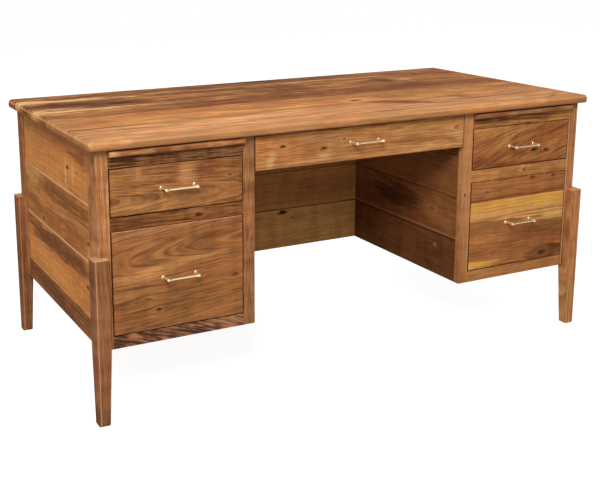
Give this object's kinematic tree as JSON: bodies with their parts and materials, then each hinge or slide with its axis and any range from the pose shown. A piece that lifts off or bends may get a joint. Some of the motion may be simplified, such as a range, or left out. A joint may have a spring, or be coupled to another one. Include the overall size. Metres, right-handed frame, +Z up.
{
  "type": "executive desk",
  "caption": "Double pedestal walnut desk with box and file drawers, centre drawer, pull-out boards, kneehole and tapered corner legs.",
  "frame": {"origin": "on the floor, under the middle of the desk's bounding box", "axes": "+X along the desk to the right of the person facing the drawers, +Y away from that person, +Z up"},
  "size_m": [1.676, 0.825, 0.775],
  "materials": {
    "walnut_top": "satin clear finish on walnut boards with sapwood",
    "walnut_frame": "satin clear finish on straight grained walnut",
    "walnut_panels": "satin clear finish on glued-up walnut boards",
    "walnut_fronts": "satin clear finish on figured walnut with knots",
    "walnut_legs": "satin clear finish on straight grained walnut",
    "maple_inside": "sanded maple, clear sealed",
    "zinc_slides": "zinc plated rolled steel",
    "brass_pulls": "satin brushed brass"
  },
  "bodies": {
    "case": {"top_slab": "walnut_top", "front_left_leg": "walnut_legs", "front_left_post": "walnut_frame", "front_right_leg": "walnut_legs", "front_right_post": "walnut_frame", "back_left_leg": "walnut_legs", "back_left_post": "walnut_frame", "back_right_leg": "walnut_legs", "back_right_post": "walnut_frame", "left_inner_stile": "walnut_frame", "left_bottom_rail": "walnut_frame", "left_middle_rail": "walnut_frame", "left_board_rail": "walnut_frame", "left_side_panel": "walnut_panels", "left_side_rail": "walnut_frame", "left_kneehole_panel": "walnut_panels", "left_back_panel": "walnut_panels", "left_pedestal_bottom": "maple_inside", "right_inner_stile": "walnut_frame", "right_bottom_rail": "walnut_frame", "right_middle_rail": "walnut_frame", "right_board_rail": "walnut_frame", "right_side_panel": "walnut_panels", "right_side_rail": "walnut_frame", "right_kneehole_panel": "walnut_panels", "right_back_panel": "walnut_panels", "right_pedestal_bottom": "maple_inside", "modesty_panel": "walnut_panels", "slide_battens": "maple_inside", "board_guides": "maple_inside", "cabinet_slide_members": "zinc_slides"},
    "upper_left_drawer": {"upper_left_drawer_front": "walnut_fronts", "upper_left_drawer_box": "maple_inside", "upper_left_drawer_floor": "maple_inside", "upper_left_drawer_pull": "brass_pulls", "upper_left_drawer_slides": "zinc_slides"},
    "lower_left_drawer": {"lower_left_drawer_front": "walnut_fronts", "lower_left_drawer_box": "maple_inside", "lower_left_drawer_floor": "maple_inside", "lower_left_drawer_pull": "brass_pulls", "lower_left_drawer_slides": "zinc_slides"},
    "upper_right_drawer": {"upper_right_drawer_front": "walnut_fronts", "upper_right_drawer_box": "maple_inside", "upper_right_drawer_floor": "maple_inside", "upper_right_drawer_pull": "brass_pulls", "upper_right_drawer_slides": "zinc_slides"},
    "lower_right_drawer": {"lower_right_drawer_front": "walnut_fronts", "lower_right_drawer_box": "maple_inside", "lower_right_drawer_floor": "maple_inside", "lower_right_drawer_pull": "brass_pulls", "lower_right_drawer_slides": "zinc_slides"},
    "centre_drawer": {"centre_drawer_front": "walnut_fronts", "centre_drawer_box": "maple_inside", "centre_drawer_floor": "maple_inside", "centre_drawer_pull": "brass_pulls", "centre_drawer_slides": "zinc_slides"},
    "lower_left_slide_middle": {"lower_left_slide_middle": "zinc_slides"},
    "left_pullout_board": {"left_pullout_board": "walnut_top"},
    "lower_right_slide_middle": {"lower_right_slide_middle": "zinc_slides"},
    "right_pullout_board": {"right_pullout_board": "walnut_top"}
  },
  "joints": [
    {"name": "upper_left_drawer_slide", "type": "slide", "parent": "case", "child": "upper_left_drawer", "axis": [0, -1, 0], "range_m": [0, 0.42]},
    {"name": "lower_left_drawer_slide", "type": "slide", "parent": "case", "child": "lower_left_drawer", "axis": [0, -1, 0], "range_m": [0, 0.54]},
    {"name": "upper_right_drawer_slide", "type": "slide", "parent": "case", "child": "upper_right_drawer", "axis": [0, -1, 0], "range_m": [0, 0.42]},
    {"name": "lower_right_drawer_slide", "type": "slide", "parent": "case", "child": "lower_right_drawer", "axis": [0, -1, 0], "range_m": [0, 0.54]},
    {"name": "centre_drawer_slide", "type": "slide", "parent": "case", "child": "centre_drawer", "axis": [0, -1, 0], "range_m": [0, 0.32]},
    {"name": "left_pullout_board_slide", "type": "slide", "parent": "case", "child": "left_pullout_board", "axis": [0, -1, 0], "range_m": [0, 0.33]},
    {"name": "lower_left_middle_slide", "type": "slide", "parent": "case", "child": "lower_left_slide_middle", "axis": [0, -1, 0], "range_m": [0, 0.27]},
    {"name": "right_pullout_board_slide", "type": "slide", "parent": "case", "child": "right_pullout_board", "axis": [0, -1, 0], "range_m": [0, 0.33]},
    {"name": "lower_right_middle_slide", "type": "slide", "parent": "case", "child": "lower_right_slide_middle", "axis": [0, -1, 0], "range_m": [0, 0.27]}
  ],
  "couplings": [
    {"joint": "lower_left_middle_slide", "follows": "lower_left_drawer_slide", "ratio": 0.5},
    {"joint": "lower_right_middle_slide", "follows": "lower_right_drawer_slide", "ratio": 0.5}
  ]
}
